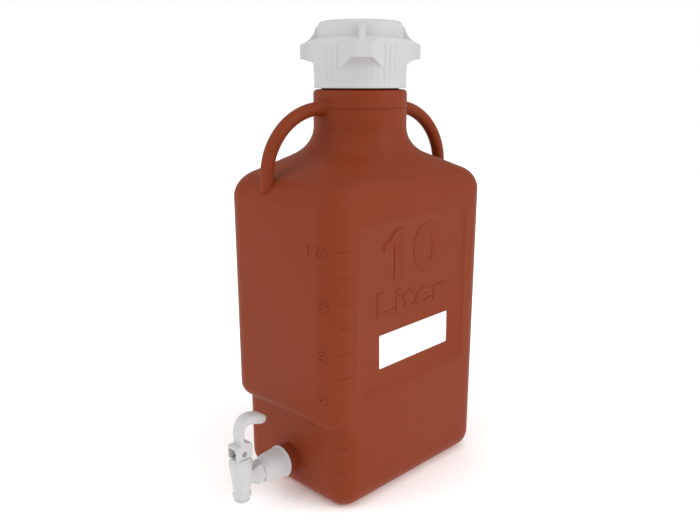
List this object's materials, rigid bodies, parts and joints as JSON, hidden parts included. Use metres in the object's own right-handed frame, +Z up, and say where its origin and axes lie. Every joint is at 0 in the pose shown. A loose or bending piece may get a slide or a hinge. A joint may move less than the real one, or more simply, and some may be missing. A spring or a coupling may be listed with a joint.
{
  "type": "carboy with spigot",
  "caption": "Rectangular moulded carboy with two arched handles, a lugged screw cap and a lever spigot in a recess at its foot.",
  "frame": {"origin": "centre of the flat base, on the surface the carboy stands on", "axes": "+Z up along the neck, -Y towards the spigot, +X towards the side with the label panel"},
  "size_m": [0.166, 0.3106, 0.499],
  "materials": {
    "amber_hdpe": "satin",
    "white_pp": "satin",
    "clear_silicone": "satin",
    "label_film": "matte",
    "liner_foam": "matte"
  },
  "bodies": {
    "bottle": {"carboy_body": "amber_hdpe", "label": "label_film", "boss_gasket": "clear_silicone", "spigot_collar": "white_pp", "shank_washer": "clear_silicone", "shank_nut": "white_pp", "valve_body": "white_pp", "bonnet": "white_pp", "seat_cup": "clear_silicone"},
    "liner": {"cap_liner": "liner_foam"},
    "cap": {"cap": "white_pp"},
    "stem": {"stem": "white_pp", "lever_pin": "white_pp"},
    "lever": {"lever": "white_pp"}
  },
  "joints": [
    {"name": "cap_lift", "type": "slide", "parent": "bottle", "child": "liner", "axis": [0, 0, 1], "range_m": [0, 0.0077]},
    {"name": "cap_turn", "type": "hinge", "parent": "liner", "child": "cap", "pos_m": [0, 0, 0.4652], "axis": [0, 0, 1], "range_deg": [0, 540]},
    {"name": "stem_lift", "type": "slide", "parent": "bottle", "child": "stem", "axis": [0, 0, 1], "range_m": [0, 0.00389], "deforming": ["seat_cup"]},
    {"name": "lever_tilt", "type": "hinge", "parent": "stem", "child": "lever", "pos_m": [0, -0.17502, 0.0699], "axis": [1, 0, 0], "range_deg": [0, 35], "stiffness_Nm_per_rad": 0.03}
  ],
  "couplings": [
    {"joint": "cap_lift", "follows": "cap_turn", "m_per_rad": 0.00080851},
    {"joint": "stem_lift", "follows": "lever_tilt", "m_per_rad": 0.00635}
  ]
}
